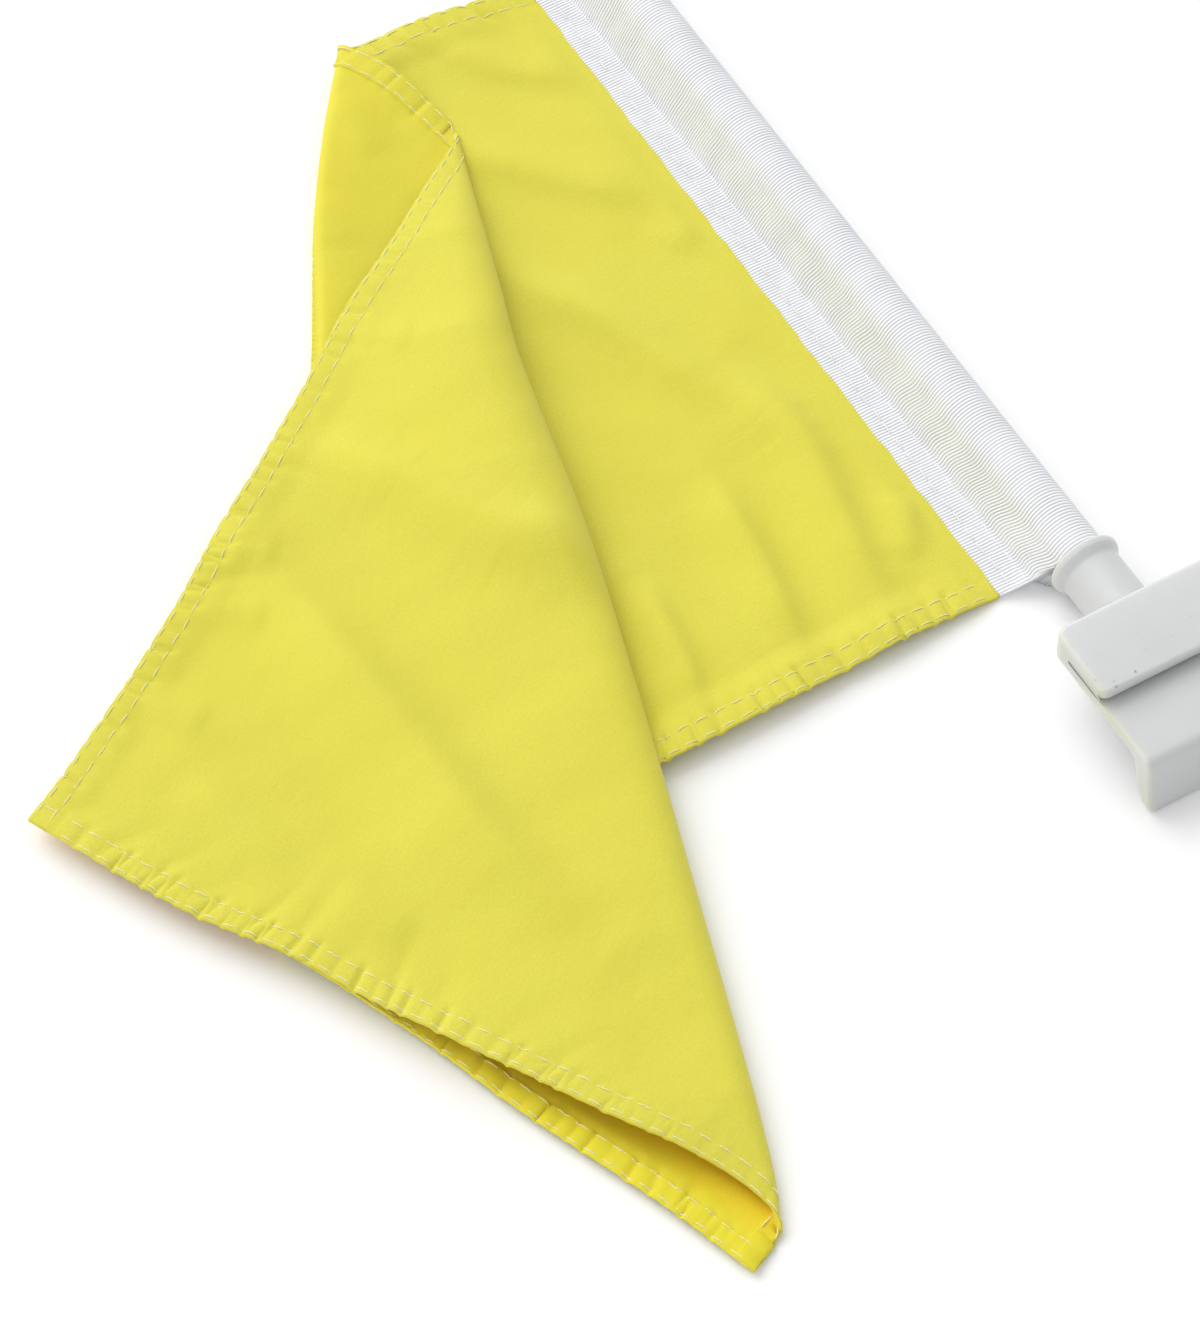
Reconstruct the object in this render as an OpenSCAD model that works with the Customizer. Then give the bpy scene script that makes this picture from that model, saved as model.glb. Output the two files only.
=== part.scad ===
// Clip-on hand flag lying flat: hemmed flag folded twice, ribbed tape sleeve,
// tube pole, flanged socket and a U-shaped edge clip. Millimetres.
// X runs across the clip, Y along the pole toward its top, Z up from the floor.

/* [Pole] */
// Height of the pole axis above the floor
axis_height = 8.25; // [6.5:0.05:12]
// Outer radius of the pole tube
pole_radius = 5.5; // [3:0.1:8]
// Wall of the pole tube
pole_wall = 1.1; // [0.6:0.1:2]
// Y of the pole's lower end
pole_bottom = 32; // [31.9:0.1:34]
// Y of the pole's upper end
pole_top = 275; // [266:0.5:300]
// Radial clearance of the pole in its socket and cap
pole_clearance = 0.05; // [0.02:0.01:0.1]

/* [Socket] */
// Outer radius of the socket's stem
stem_radius = 6.85; // [6.6:0.05:8]
// Radius of the socket's rim
rim_radius = 8.25; // [7.4:0.05:9]
// Y of the socket's mouth
socket_mouth = 55.4; // [50:0.1:58]
// Length of stem seated in the clip
stem_seat = 5.8; // [4:0.1:5.8]

/* [Clip] */
// Overall width of the clip
clip_width = 41; // [30:0.5:60]
// Y of the clip's top face
clip_top = 37.4; // [34:0.1:42]
// Height of the short front leg's face
front_face = 19.5; // [18.5:0.1:21]
// Thickness of the front leg
front_leg = 2.8; // [1.6:0.1:3]
// Y of the front leg's lower end
front_leg_end = 18.2; // [14:0.1:24]
// Height of the long back leg's face
back_leg_face = 15.4; // [14.6:0.1:16]
// Thickness of the back leg
back_leg = 3.2; // [2.8:0.1:5]
// Depth of the wider part of the slot
slot_relief = 0.6; // [0.5:0.1:2]
// Y of the slot's closed end
slot_end = 31; // [26:0.1:31.2]
// Radius of the clip's upper corners
clip_corner = 3.5; // [1:0.1:6]
// Radius of the boss around the socket's seat
boss_radius = 8.1; // [7.6:0.05:8.2]
// Length of that boss
boss_length = 10.5; // [7:0.5:16]

/* [Sleeve] */
// Outer radius of the sleeve round the pole
sleeve_radius = 6.1; // [5.9:0.05:8]
// Radial clearance of the sleeve on the pole
sleeve_clearance = 0.08; // [0.02:0.01:0.1]
// X of the tape's free edge, measured from the pole axis
tape_edge = 17; // [14:0.1:24]
// X where the sleeve closes into the seam, measured from the pole axis
seam_start = 8.9; // [8.4:0.1:9]
// X of the inner stitch row, measured from the pole axis
seam_inner_row = 9.8; // [9.7:0.1:12.8]
// X of the outer stitch row, measured from the pole axis
seam_outer_row = 13.7; // [11:0.1:16]
// Thickness of the sewn seam
seam_thickness = 1.2; // [1.1:0.05:2]

/* [Flag] */
// Y of the flag's lower hem at the pole
flag_bottom = 60.6; // [58:0.1:70]
// Height of the flag along the pole
flag_height = 203.2; // [200:0.1:206]
// Thickness of the flag cloth
cloth = 0.4; // [0.2:0.05:0.6]
// Thickness of a hem
hem_thickness = 1.2; // [1:0.05:2]
// Width of a hem
hem_width = 5.8; // [4:0.1:8]
// Rise from one folded layer to the next
layer_rise = 2.4; // [2:0.1:5]
// Where the first fold crosses the upper hem
fold_one_upper = [-65, 266.4]; // [-300:0.1:300]
// Where the first fold crosses the lower hem
fold_one_lower = [-191.2, 58.8]; // [-300:0.1:300]
// Where the second fold crosses the upper hem
fold_two_upper = [-54, 230.8]; // [-300:0.1:300]
// Where the second fold crosses the fly hem
fold_two_fly = [-136.2, -45.1]; // [-300:0.1:300]
// Upper fly corner
upper_corner = [-222.3, 112.7]; // [-300:0.1:300]
// Lower fly corner
lower_corner = [-146.1, -51]; // [-300:0.1:300]

/* [Stitching] */
// Distance of the edge row from the cloth's edge
edge_row = 0.9; // [0.6:0.1:2]
// Distance of the inner row from the cloth's edge
inner_row = 4.6; // [3:0.1:6]
// Width of a thread
thread = 0.45; // [0.3:0.05:0.8]

/* [Cap] */
// Y of the cap's rim
cap_rim = 264.4; // [264.1:0.1:266]
// Outer radius of the cap's body
cap_radius = 6.9; // [6.6:0.1:8]
// Length of the cap
cap_length = 15; // [12:0.5:25]
// Length of pole inside the cap
cap_seat = 11.2; // [6:0.1:14]

/* [Hidden] */
$fn = 64;
flag_top = flag_bottom + flag_height;
socket_length = socket_mouth - clip_top + stem_seat;
back_leg_rear = back_leg_face - back_leg;
front_leg_rear = front_face - front_leg;
hoist_edge = -seam_start - 1.9;
cloth_base = (hem_thickness - cloth) / 2;
thread_height = 0.25;
plastic = [0.88, 0.88, 0.89];
tape_white = [0.93, 0.93, 0.93];
yellow = [0.90, 0.84, 0.22];
cream = [0.93, 0.90, 0.78];

// the three layers, lowest first, and the edges of each with the cloth on their left
upper_start = [-tape_edge - 0.1, flag_top];
lower_start = [-tape_edge - 0.1, flag_bottom];
layers = [[upper_start, fold_one_upper, fold_one_lower, lower_start],
          [fold_one_upper, fold_two_upper, fold_two_fly, lower_corner, fold_one_lower],
          [fold_two_upper, upper_corner, fold_two_fly]];
upper_edges = [[upper_start, fold_one_upper], [fold_two_upper, fold_one_upper], [fold_two_upper, upper_corner]];
lower_edges = [[fold_one_lower, lower_start], [fold_one_lower, lower_corner]];
fly_edges = [[lower_corner, fold_two_fly], [upper_corner, fold_two_fly]];

function heading(a, b) = atan2(b[1] - a[1], b[0] - a[0]);
// how far along the fold from a to b a hem on the edge from a to c reaches
function reach(a, b, c) = hem_width / abs(sin(heading(a, b) - heading(a, c)));
upper_reach_one = [reach(fold_one_upper, fold_one_lower, upper_start), reach(fold_one_upper, fold_one_lower, fold_two_upper)];
upper_reach_two = [reach(fold_two_upper, fold_two_fly, fold_one_upper), reach(fold_two_upper, fold_two_fly, upper_corner)];
lower_reach = [reach(fold_one_lower, fold_one_upper, lower_start), reach(fold_one_lower, fold_one_upper, lower_corner)];
fly_reach = [reach(fold_two_fly, fold_two_upper, lower_corner), reach(fold_two_fly, fold_two_upper, upper_corner)];
fold_one_length = norm(fold_one_lower - fold_one_upper);
fold_two_length = norm(fold_two_fly - fold_two_upper);

// the strip between two distances from an edge, running past both its ends
module strip(edge, near, far) {
  translate(edge[0]) rotate(heading(edge[0], edge[1]))
    translate([-60, near]) square([norm(edge[1] - edge[0]) + 120, far - near]);
}

module band(layer, edge, near, far) {
  intersection() {
    polygon(layers[layer]);
    strip(edge, near, far);
  }
}

module raised(layer, base, height) {
  translate([0, 0, layer * layer_rise + base]) linear_extrude(height) children();
}

// half a tube along a fold from a to b, joining a layer to the one above
module bend(a, b, from, to, layer, wall, side) {
  translate([a[0], a[1], layer * layer_rise + (layer_rise + hem_thickness) / 2])
    rotate([0, 0, heading(a, b)]) translate([from, 0, 0]) rotate([90, 0, 90])
      linear_extrude(to - from) intersection() {
        difference() {
          circle((layer_rise + wall) / 2, $fn = 32);
          circle((layer_rise - wall) / 2, $fn = 32);
        }
        translate([side > 0 ? 0 : -5, -5]) square([5, 10]);
      }
}

module around_pole(y) {
  translate([0, y, axis_height]) rotate([-90, 0, 0]) children();
}

module clip_outline() {
  offset(0.5) offset(-0.5) polygon([[clip_top, back_leg_rear], [clip_top, front_face], [front_leg_end, front_face],
    [front_leg_end, back_leg_face], [1.2, back_leg_face], [-1.5, 0.2], [-1.2, 0], [1.6, 0],
    [4.4, 4.7], [6.3, back_leg_rear - 0.6], [8, back_leg_rear]]);
}

module clip_slot() {
  polygon([[front_leg_end - 1, back_leg_face], [front_leg_end + 2, back_leg_face],
    [front_leg_end + 3.6, back_leg_face - slot_relief], [slot_end - 0.6, back_leg_face - slot_relief],
    [slot_end, back_leg_face - slot_relief + 0.6], [slot_end, front_leg_rear - 0.6],
    [slot_end - 0.6, front_leg_rear], [front_leg_end - 1, front_leg_rear]]);
}

module clip_plan() {
  half = clip_width / 2;
  hull() {
    for (side = [-1, 1]) {
      translate([side * (half - clip_corner), clip_top - clip_corner]) circle(clip_corner);
      translate([side * (half - 1.2), -1.5 + 1.2]) circle(1.2);
    }
  }
}

module across_clip(width) {
  translate([-width / 2, 0, 0]) rotate([90, 0, 90]) linear_extrude(width) children();
}

module window_clip() {
  color(plastic) difference() {
    union() {
      intersection() {
        across_clip(clip_width) clip_outline();
        translate([0, 0, -1]) linear_extrude(front_face + 2) clip_plan();
      }
      around_pole(clip_top - boss_length) cylinder(h = boss_length, r = boss_radius);
    }
    across_clip(clip_width + 2) clip_slot();
    around_pole(clip_top - stem_seat) cylinder(h = stem_seat + 1, r = stem_radius + 0.02);
  }
}

module pole_socket() {
  bore = pole_radius + pole_clearance;
  h = socket_length;
  color(plastic) around_pole(clip_top - stem_seat) rotate_extrude()
    polygon([[bore, 0], [stem_radius, 0], [stem_radius, h - 3.3], [stem_radius + 0.2, h - 2.6],
      [rim_radius - 0.5, h - 2], [rim_radius - 0.1, h - 1.6], [rim_radius, h - 1.1], [rim_radius - 0.1, h - 0.6],
      [rim_radius - 0.5, h - 0.1], [rim_radius - 0.9, h], [bore + 0.7, h], [bore + 0.2, h - 0.5], [bore, h - 1.4]]);
}

module pole_tube() {
  color(plastic) around_pole(pole_bottom) difference() {
    cylinder(h = pole_top - pole_bottom, r = pole_radius);
    translate([0, 0, -1]) cylinder(h = pole_top - pole_bottom + 2, r = pole_radius - pole_wall);
  }
}

module top_cap() {
  bore = pole_radius + pole_clearance;
  color(plastic) around_pole(cap_rim) rotate_extrude()
    polygon([[bore, 0], [rim_radius - 0.6, 0], [rim_radius - 0.1, 0.5], [rim_radius, 1.1], [rim_radius - 0.1, 1.7],
      [cap_radius + 0.2, 2.6], [cap_radius, 3.3], [cap_radius, cap_length - 3], [cap_radius - 0.8, cap_length - 1.3],
      [cap_radius - 2.6, cap_length - 0.3], [0, cap_length], [0, cap_seat], [bore, cap_seat]]);
}

module header_sleeve() {
  mid = seam_thickness / 2 + 0.02;
  color(tape_white) translate([0, flag_top, 0]) rotate([90, 0, 0]) linear_extrude(flag_height)
    difference() {
      union() {
        hull() {
          translate([0, axis_height]) circle(sleeve_radius);
          translate([-seam_start, mid]) circle(seam_thickness / 2);
        }
        hull() {
          translate([-seam_start, mid]) circle(seam_thickness / 2);
          translate([seam_thickness / 2 - tape_edge, mid]) circle(seam_thickness / 2);
        }
      }
      hull() {
        translate([0, axis_height]) circle(pole_radius + sleeve_clearance);
        translate([1.2 - seam_start, mid + 1]) circle(0.2);
      }
      translate([-tape_edge - 1, cloth_base - 0.02]) square([tape_edge + 1 + hoist_edge + 0.1, cloth + 0.04]);
    }
}

module header_row(x) {
  color(cream) translate([-x - thread / 2, flag_bottom, seam_thickness + 0.02])
    cube([thread, flag_height, thread_height]);
}

module header_outer_stitching() header_row(seam_outer_row);

module header_inner_stitching() header_row(seam_inner_row);

module flag_panel() {
  color(yellow) {
    raised(0, cloth_base, cloth) union() {
      translate([-tape_edge - 0.1, flag_bottom]) square([tape_edge + 0.1 + hoist_edge, flag_height]);
      difference() {
        polygon(layers[0]);
        strip(upper_edges[0], -5, hem_width);
        strip(lower_edges[0], -5, hem_width);
      }
    }
    raised(1, cloth_base, cloth) difference() {
      polygon(layers[1]);
      strip(upper_edges[1], -5, hem_width);
      strip(lower_edges[1], -5, hem_width);
      strip(fly_edges[0], -5, hem_width);
    }
    raised(2, cloth_base, cloth) difference() {
      polygon(layers[2]);
      strip(upper_edges[2], -5, hem_width);
      strip(fly_edges[1], -5, hem_width);
    }
    bend(fold_one_upper, fold_one_lower, max(upper_reach_one), fold_one_length - max(lower_reach), 0, cloth, -1);
    bend(fold_two_upper, fold_two_fly, max(upper_reach_two), fold_two_length - max(fly_reach), 1, cloth, 1);
  }
}

module top_hem() {
  color(yellow) {
    for (layer = [0:2]) raised(layer, 0, hem_thickness) band(layer, upper_edges[layer], -1, hem_width);
    bend(fold_one_upper, fold_one_lower, 0, min(upper_reach_one), 0, hem_thickness, -1);
    bend(fold_two_upper, fold_two_fly, 0, min(upper_reach_two), 1, hem_thickness, 1);
  }
}

module bottom_hem() {
  color(yellow) {
    for (layer = [0:1]) raised(layer, 0, hem_thickness) band(layer, lower_edges[layer], -1, hem_width);
    bend(fold_one_upper, fold_one_lower, fold_one_length - min(lower_reach), fold_one_length, 0, hem_thickness, -1);
  }
}

module fly_hem() {
  color(yellow) {
    raised(1, 0, hem_thickness) difference() {
      band(1, fly_edges[0], -1, hem_width);
      strip(lower_edges[1], -5, hem_width);
    }
    raised(2, 0, hem_thickness) difference() {
      band(2, fly_edges[1], -1, hem_width);
      strip(upper_edges[2], -5, hem_width);
    }
    bend(fold_two_upper, fold_two_fly, fold_two_length - min(fly_reach), fold_two_length, 1, hem_thickness, 1);
  }
}

// one row of thread on a layer's hem, clear of the hems that cross it
module row(layer, edge, offset_in) {
  color(cream) raised(layer, hem_thickness, thread_height)
    band(layer, edge, offset_in - thread / 2, offset_in + thread / 2);
}

module top_row(offset_in) {
  for (layer = [0:2]) row(layer, upper_edges[layer], offset_in);
}

module bottom_row(offset_in) {
  for (layer = [0:1]) row(layer, lower_edges[layer], offset_in);
}

module fly_row(offset_in) {
  color(cream) {
    raised(1, hem_thickness, thread_height) difference() {
      band(1, fly_edges[0], offset_in - thread / 2, offset_in + thread / 2);
      strip(lower_edges[1], -5, hem_width);
    }
    raised(2, hem_thickness, thread_height) difference() {
      band(2, fly_edges[1], offset_in - thread / 2, offset_in + thread / 2);
      strip(upper_edges[2], -5, hem_width);
    }
  }
}

module top_hem_edge_stitching() top_row(edge_row);

module top_hem_inner_stitching() top_row(inner_row);

module bottom_hem_edge_stitching() bottom_row(edge_row);

module bottom_hem_inner_stitching() bottom_row(inner_row);

module fly_hem_edge_stitching() fly_row(edge_row);

module fly_hem_inner_stitching() fly_row(inner_row);

// the short row that closes a hem across a corner, between the two rows that run along it
module corner_row(layer, across, along) {
  color(cream) raised(layer, hem_thickness, thread_height) intersection() {
    band(layer, across, inner_row - thread / 2, inner_row + thread / 2);
    band(layer, along, edge_row + thread, inner_row - thread);
  }
}

module upper_corner_stitching() corner_row(2, fly_edges[1], upper_edges[2]);

module lower_corner_stitching() corner_row(1, fly_edges[0], lower_edges[1]);

window_clip();
pole_socket();
pole_tube();
top_cap();
header_sleeve();
header_outer_stitching();
header_inner_stitching();
flag_panel();
top_hem();
bottom_hem();
fly_hem();
top_hem_edge_stitching();
top_hem_inner_stitching();
bottom_hem_edge_stitching();
bottom_hem_inner_stitching();
fly_hem_edge_stitching();
fly_hem_inner_stitching();
upper_corner_stitching();
lower_corner_stitching();
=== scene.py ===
"""Looks for the clip-on flag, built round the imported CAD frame. Shapes are worked out in millimetres."""
import math

import bmesh
import bpy
import numpy as np
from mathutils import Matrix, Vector


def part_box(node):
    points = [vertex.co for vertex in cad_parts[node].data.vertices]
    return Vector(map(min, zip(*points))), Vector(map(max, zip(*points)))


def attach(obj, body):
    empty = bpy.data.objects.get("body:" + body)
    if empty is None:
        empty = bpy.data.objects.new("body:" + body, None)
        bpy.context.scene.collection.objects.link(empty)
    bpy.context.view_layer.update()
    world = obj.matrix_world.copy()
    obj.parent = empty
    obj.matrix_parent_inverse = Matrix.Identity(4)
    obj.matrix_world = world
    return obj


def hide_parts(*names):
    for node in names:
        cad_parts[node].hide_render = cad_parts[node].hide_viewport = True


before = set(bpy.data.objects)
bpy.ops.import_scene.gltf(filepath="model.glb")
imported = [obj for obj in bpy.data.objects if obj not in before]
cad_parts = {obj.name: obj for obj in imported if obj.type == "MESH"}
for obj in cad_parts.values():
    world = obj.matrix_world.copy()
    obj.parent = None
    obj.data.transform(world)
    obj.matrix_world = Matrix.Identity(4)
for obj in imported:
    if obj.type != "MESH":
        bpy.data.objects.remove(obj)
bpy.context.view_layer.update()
METRES = 0.001


def node_box(name):
    """Lowest and highest corner of a CAD node, in millimetres."""
    low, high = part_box(name)
    return np.array(low) / METRES, np.array(high) / METRES


# ---------------- sizes taken from the frame
sleeve_low, sleeve_high = node_box("header_sleeve")
pole_low, pole_high = node_box("pole_tube")
socket_low, socket_high = node_box("pole_socket")
cap_low, cap_high = node_box("top_cap")
clip_low, clip_high = node_box("window_clip")
AXIS_HEIGHT = (pole_low[2] + pole_high[2]) / 2
POLE_RADIUS = (pole_high[2] - pole_low[2]) / 2
RIM_RADIUS = (socket_high[2] - socket_low[2]) / 2
SLEEVE_RADIUS = sleeve_high[2] - AXIS_HEIGHT
TAPE_EDGE = sleeve_low[0]
FLAG_BOTTOM, FLAG_TOP = sleeve_low[1], sleeve_high[1]
CLIP_TOP, CLIP_WIDTH, FRONT_FACE = clip_high[1], clip_high[0] - clip_low[0], clip_high[2]

# ---------------- the flag as it was cut, in millimetres
HOIST = FLAG_TOP - FLAG_BOTTOM
FLY = 305.0
FOLD_ONE = np.array([[50.0, HOIST], [181.8, 0.0]])
FOLD_TWO = np.array([[89.5, HOIST], [FLY, 12.3]])
CLOTH_THICKNESS = 0.34
# the middle of the cloth's thickness stays at least CLEARANCE high, and eases onto that over FLOOR_EASE
CLEARANCE, FLOOR_EASE = 0.86, 0.2
HEM_WIDTH = 5.3
# the cloth runs on under the tape's seam, at this height
SEAM_OVERLAP, SEAM_HEIGHT = 9.0, 0.62
EDGE_ROW, INNER_ROW = 0.8, 4.7
STITCH_PITCH, STITCH_LENGTH = 4.72, 4.2

# where the ends of the folds and the fly corners lie, seen from above: measured, to half a millimetre
ONE_UPPER, ONE_LOWER = (-64.5, 267.5), (-191.5, 59)
TWO_UPPER, TWO_FLY = (-54, 231), (-137, -46)
UPPER_CORNER, LOWER_CORNER = (-222, 111.5), (-146.5, -51)
# how the edges and folds lie between them, measured as well; the third number, the height, is a guess
EDGES = {
    "hoist": [(TAPE_EDGE, FLAG_TOP, 0.7), (TAPE_EDGE, FLAG_BOTTOM, 0.7)],
    "top_one": [(TAPE_EDGE, FLAG_TOP, 0.7), (-29, 265, 1.6), (-43, 265.5, 2), (*ONE_UPPER, 0.9)],
    "bottom_one": [(TAPE_EDGE, FLAG_BOTTOM, 0.7), (-41, 60, 1.6), (-71, 59, 2.6), (-101, 58.5, 2.4),
                   (-150, 59, 1.4), (*ONE_LOWER, 0.7)],
    "fold_one": [(*ONE_UPPER, 1.2), (-80, 246.5, 1.2), (-96, 222, 1.2), (-113.5, 190.5, 1.2),
                 (-139.5, 146.5, 1.2), (*ONE_LOWER, 1.2)],
    "top_two": [(*ONE_UPPER, 3.4), (-58.5, 256, 3.6), (-54, 238, 2.6), (*TWO_UPPER, 2.4)],
    "fold_two": [(*TWO_UPPER, 2.4), (-60, 213, 2.4), (-70.5, 180.5, 2.4), (-75.5, 165.5, 2.4),
                 (-81, 141.5, 2.4), (-87, 114, 2.4), (-103, 58.5, 2), (-128.5, -24.5, 0.8),
                 (*TWO_FLY, 0.8)],
    "fly_two": [(*TWO_FLY, 0.8), (-142.5, -48.5, 0.7), (*LOWER_CORNER, 0.7)],
    "bottom_two": [(*LOWER_CORNER, 0.7), (-154, -30, 0.8), (-167, 0.5, 0.8), (-176.5, 26, 1),
                   (-187, 49, 1.4), (*ONE_LOWER, 1.6)],
    "top_three": [(*TWO_UPPER, 5), (-66.5, 221, 6), (-85.5, 207, 5.8), (-105.5, 194, 5), (-130, 175, 4.6),
                  (-153.5, 158, 4.2), (-170.5, 145, 3.6), (-189, 132, 3.6), (-210, 118.5, 4),
                  (*UPPER_CORNER, 4)],
    "fly_three": [(*UPPER_CORNER, 4), (-216, 98.5, 4.4), (-204, 74.5, 4.7), (-191, 54.5, 5.2),
                  (-181, 35, 5.6), (-170, 15.5, 7.2), (-153.5, -11.5, 8.6), (-145.5, -23, 7.6),
                  (-140, -32.5, 6), (-137, -41, 4), (*TWO_FLY, 2)],
}
# each region's outline in order: the edge, and the cut cloth's corners that it runs between
HOIST_TOP, HOIST_BOTTOM, FLY_TOP, FLY_BOTTOM = (0, HOIST), (0, 0), (FLY, HOIST), (FLY, 0)
OUTLINES = [
    [("top_one", HOIST_TOP, FOLD_ONE[0], 0), ("fold_one", FOLD_ONE[0], FOLD_ONE[1], 0),
     ("bottom_one", FOLD_ONE[1], HOIST_BOTTOM, 1), ("hoist", HOIST_BOTTOM, HOIST_TOP, 1)],
    [("top_two", FOLD_ONE[0], FOLD_TWO[0], 0), ("fold_two", FOLD_TWO[0], FOLD_TWO[1], 0),
     ("fly_two", FOLD_TWO[1], FLY_BOTTOM, 0), ("bottom_two", FLY_BOTTOM, FOLD_ONE[1], 0),
     ("fold_one", FOLD_ONE[1], FOLD_ONE[0], 1)],
    [("top_three", FOLD_TWO[0], FLY_TOP, 0), ("fly_three", FLY_TOP, FOLD_TWO[1], 0),
     ("fold_two", FOLD_TWO[1], FOLD_TWO[0], 1)],
]
# radius of each bend, by the share of the way down its fold
BEND_ONE = [(0, 2.0), (0.06, 2.3), (0.3, 2.0), (0.45, 1.3), (1, 1.2)]
BEND_TWO = [(0, 1.8), (0.05, 4), (0.12, 8), (0.22, 11), (0.35, 11), (0.45, 9), (0.6, 7), (0.9, 5), (1, 2)]
# how far the ridge over the second fold takes to settle: before the fold, and past it by the share down
SETTLE_BEFORE_TWO = 8
SETTLE_TWO = [(0, 12), (0.15, 28), (0.5, 32), (0.8, 32), (1, 34)]
# soft creases: the line each follows on the cut cloth (measured), its half width and its height
CREASES = [
    ([(31, 199), (19, 183), (2, 171)], 4.5, 1.2),
    ([(40, 168), (27, 150), (6, 130)], 5, 1.5),
    ([(50, 132), (35, 103), (28, 82), (23, 67)], 5, 2),
    ([(14, 117), (2, 122)], 4, 0.6),
    ([(20, 84), (16, 58), (20, 34), (27, 5)], 5.5, 2.8),
    ([(40, 60), (42, 34), (48, 7)], 4.5, 2.2),
    ([(68, 44), (71, 19), (77, 5)], 4, 2),
    ([(2, 34), (14, 16)], 4, 1.2),
    ([(191, 197), (190, 171), (194, 144), (190, 112)], 6, 3),
    ([(222, 190), (236, 160), (249, 132), (261, 109), (268, 74)], 8, 3.4),
    ([(279, 180), (283, 154), (285, 140)], 5, 0.8),
    ([(287, 136), (288, 112)], 5, 0.7),
    ([(223, 200), (218, 186)], 3.5, 0.7),
    ([(238, 198), (234, 180)], 3.5, 0.7),
    ([(267, 197), (264, 179)], 4, 0.8),
    ([(161, 198), (155, 184)], 3.5, 0.6),
    ([(207, 60), (240, 40), (262, 30)], 7, 0.6),
    ([(60, 192), (80, 181)], 4, 0.7),
    ([(74, 164), (88, 153)], 4, 0.6),
]
CREASE_GAIN = 1.3
# the ripple of the panel: turns along the fly and up the hoist, phase and height
RIPPLES = [(0.11, 0.045, 0.4, 0.16), (-0.06, 0.13, 1.7, 0.16), (0.19, 0.1, 2.9, 0.08),
           (0.07, -0.2, 0.9, 0.07), (0.31, 0.22, 4.1, 0.035), (-0.27, 0.35, 5.2, 0.035)]


# ---------------- curves and surfaces
def along(points, count):
    """count + 1 points evenly spaced on a smooth curve through the given ones."""
    p = np.array(points, float)
    p = np.vstack([2 * p[0] - p[1], p, 2 * p[-1] - p[-2]])
    t = np.linspace(0, 1, 13)[:-1, None]
    spans = []
    for a, b, c, d in zip(p, p[1:], p[2:], p[3:]):
        spans.append(0.5 * (2 * b + (c - a) * t + (2 * a - 5 * b + 4 * c - d) * t**2
                            + (3 * b - a - 3 * c + d) * t**3))
    dense = np.vstack(spans + [p[-2:-1]])
    run = np.r_[0, np.cumsum(np.linalg.norm(np.diff(dense, axis=0), axis=1))]
    want = np.linspace(0, run[-1], count + 1)
    return np.column_stack([np.interp(want, run, dense[:, k]) for k in range(p.shape[1])])


def outline_arrays(outline, spacing=6.0):
    """A region's outline as matching arrays: points of the cut cloth, and where they lie."""
    cut, lying = [], []
    for name, start, end, backwards in outline:
        start, end = np.array(start), np.array(end)
        count = max(2, round(np.linalg.norm(end - start) / spacing))
        share = np.linspace(0, 1, count + 1)[:-1, None]
        where = along(EDGES[name], count)
        cut.append(start + (end - start) * share)
        lying.append((where[::-1] if backwards else where)[:-1])
    return np.vstack(cut), np.vstack(lying)


def spread_inside(points, cut, lying):
    """Mean value coordinates: carries points of the cut cloth to where they lie."""
    out = np.empty((len(points), 3))
    for first in range(0, len(points), 8000):
        p = points[first:first + 8000]
        arm = cut[None] - p[:, None]
        length = np.maximum(np.linalg.norm(arm, axis=2), 1e-6)
        after, length_after = np.roll(arm, -1, axis=1), np.roll(length, -1, axis=1)
        cross = arm[..., 0] * after[..., 1] - arm[..., 1] * after[..., 0]
        dot = (arm * after).sum(2)
        # the tangent of half the angle, kept finite on the outline itself
        bottom = length * length_after + dot
        half = cross / np.maximum(bottom, 1e-9)
        weight = (half + np.roll(half, 1, axis=1)) / length
        out[first:first + 8000] = (weight @ lying) / weight.sum(1)[:, None]
    return out


def fold_distance(points, fold):
    """Distance past a fold line (positive toward the fly), share of the way down it, and its normal."""
    way = fold[1] - fold[0]
    length = np.linalg.norm(way)
    way = way / length
    arm = points - fold[0]
    normal = np.array([-way[1], way[0]])
    return arm @ normal, np.clip(arm @ way / length, 0, 1), normal


def profile(table, share):
    """The value that a table of (share, value) gives."""
    table = np.array(table, float)
    return np.interp(share, table[:, 0], table[:, 1])


def smooth_step(x, low, high):
    t = np.clip((x - low) / (high - low), 0, 1)
    return t * t * (3 - 2 * t)


def bend_shift(distance, radius):
    """How much nearer to the fold a point lies than on flat folded paper."""
    d = np.abs(distance)
    turned = radius * math.pi / 2
    inside = d - radius * (1 - np.cos(np.minimum(d, turned) / radius))
    outside = 0.571 * radius * np.exp(-np.maximum(d - turned, 0) / (2.5 * radius))
    return np.where(d < turned, inside, outside)


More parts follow.
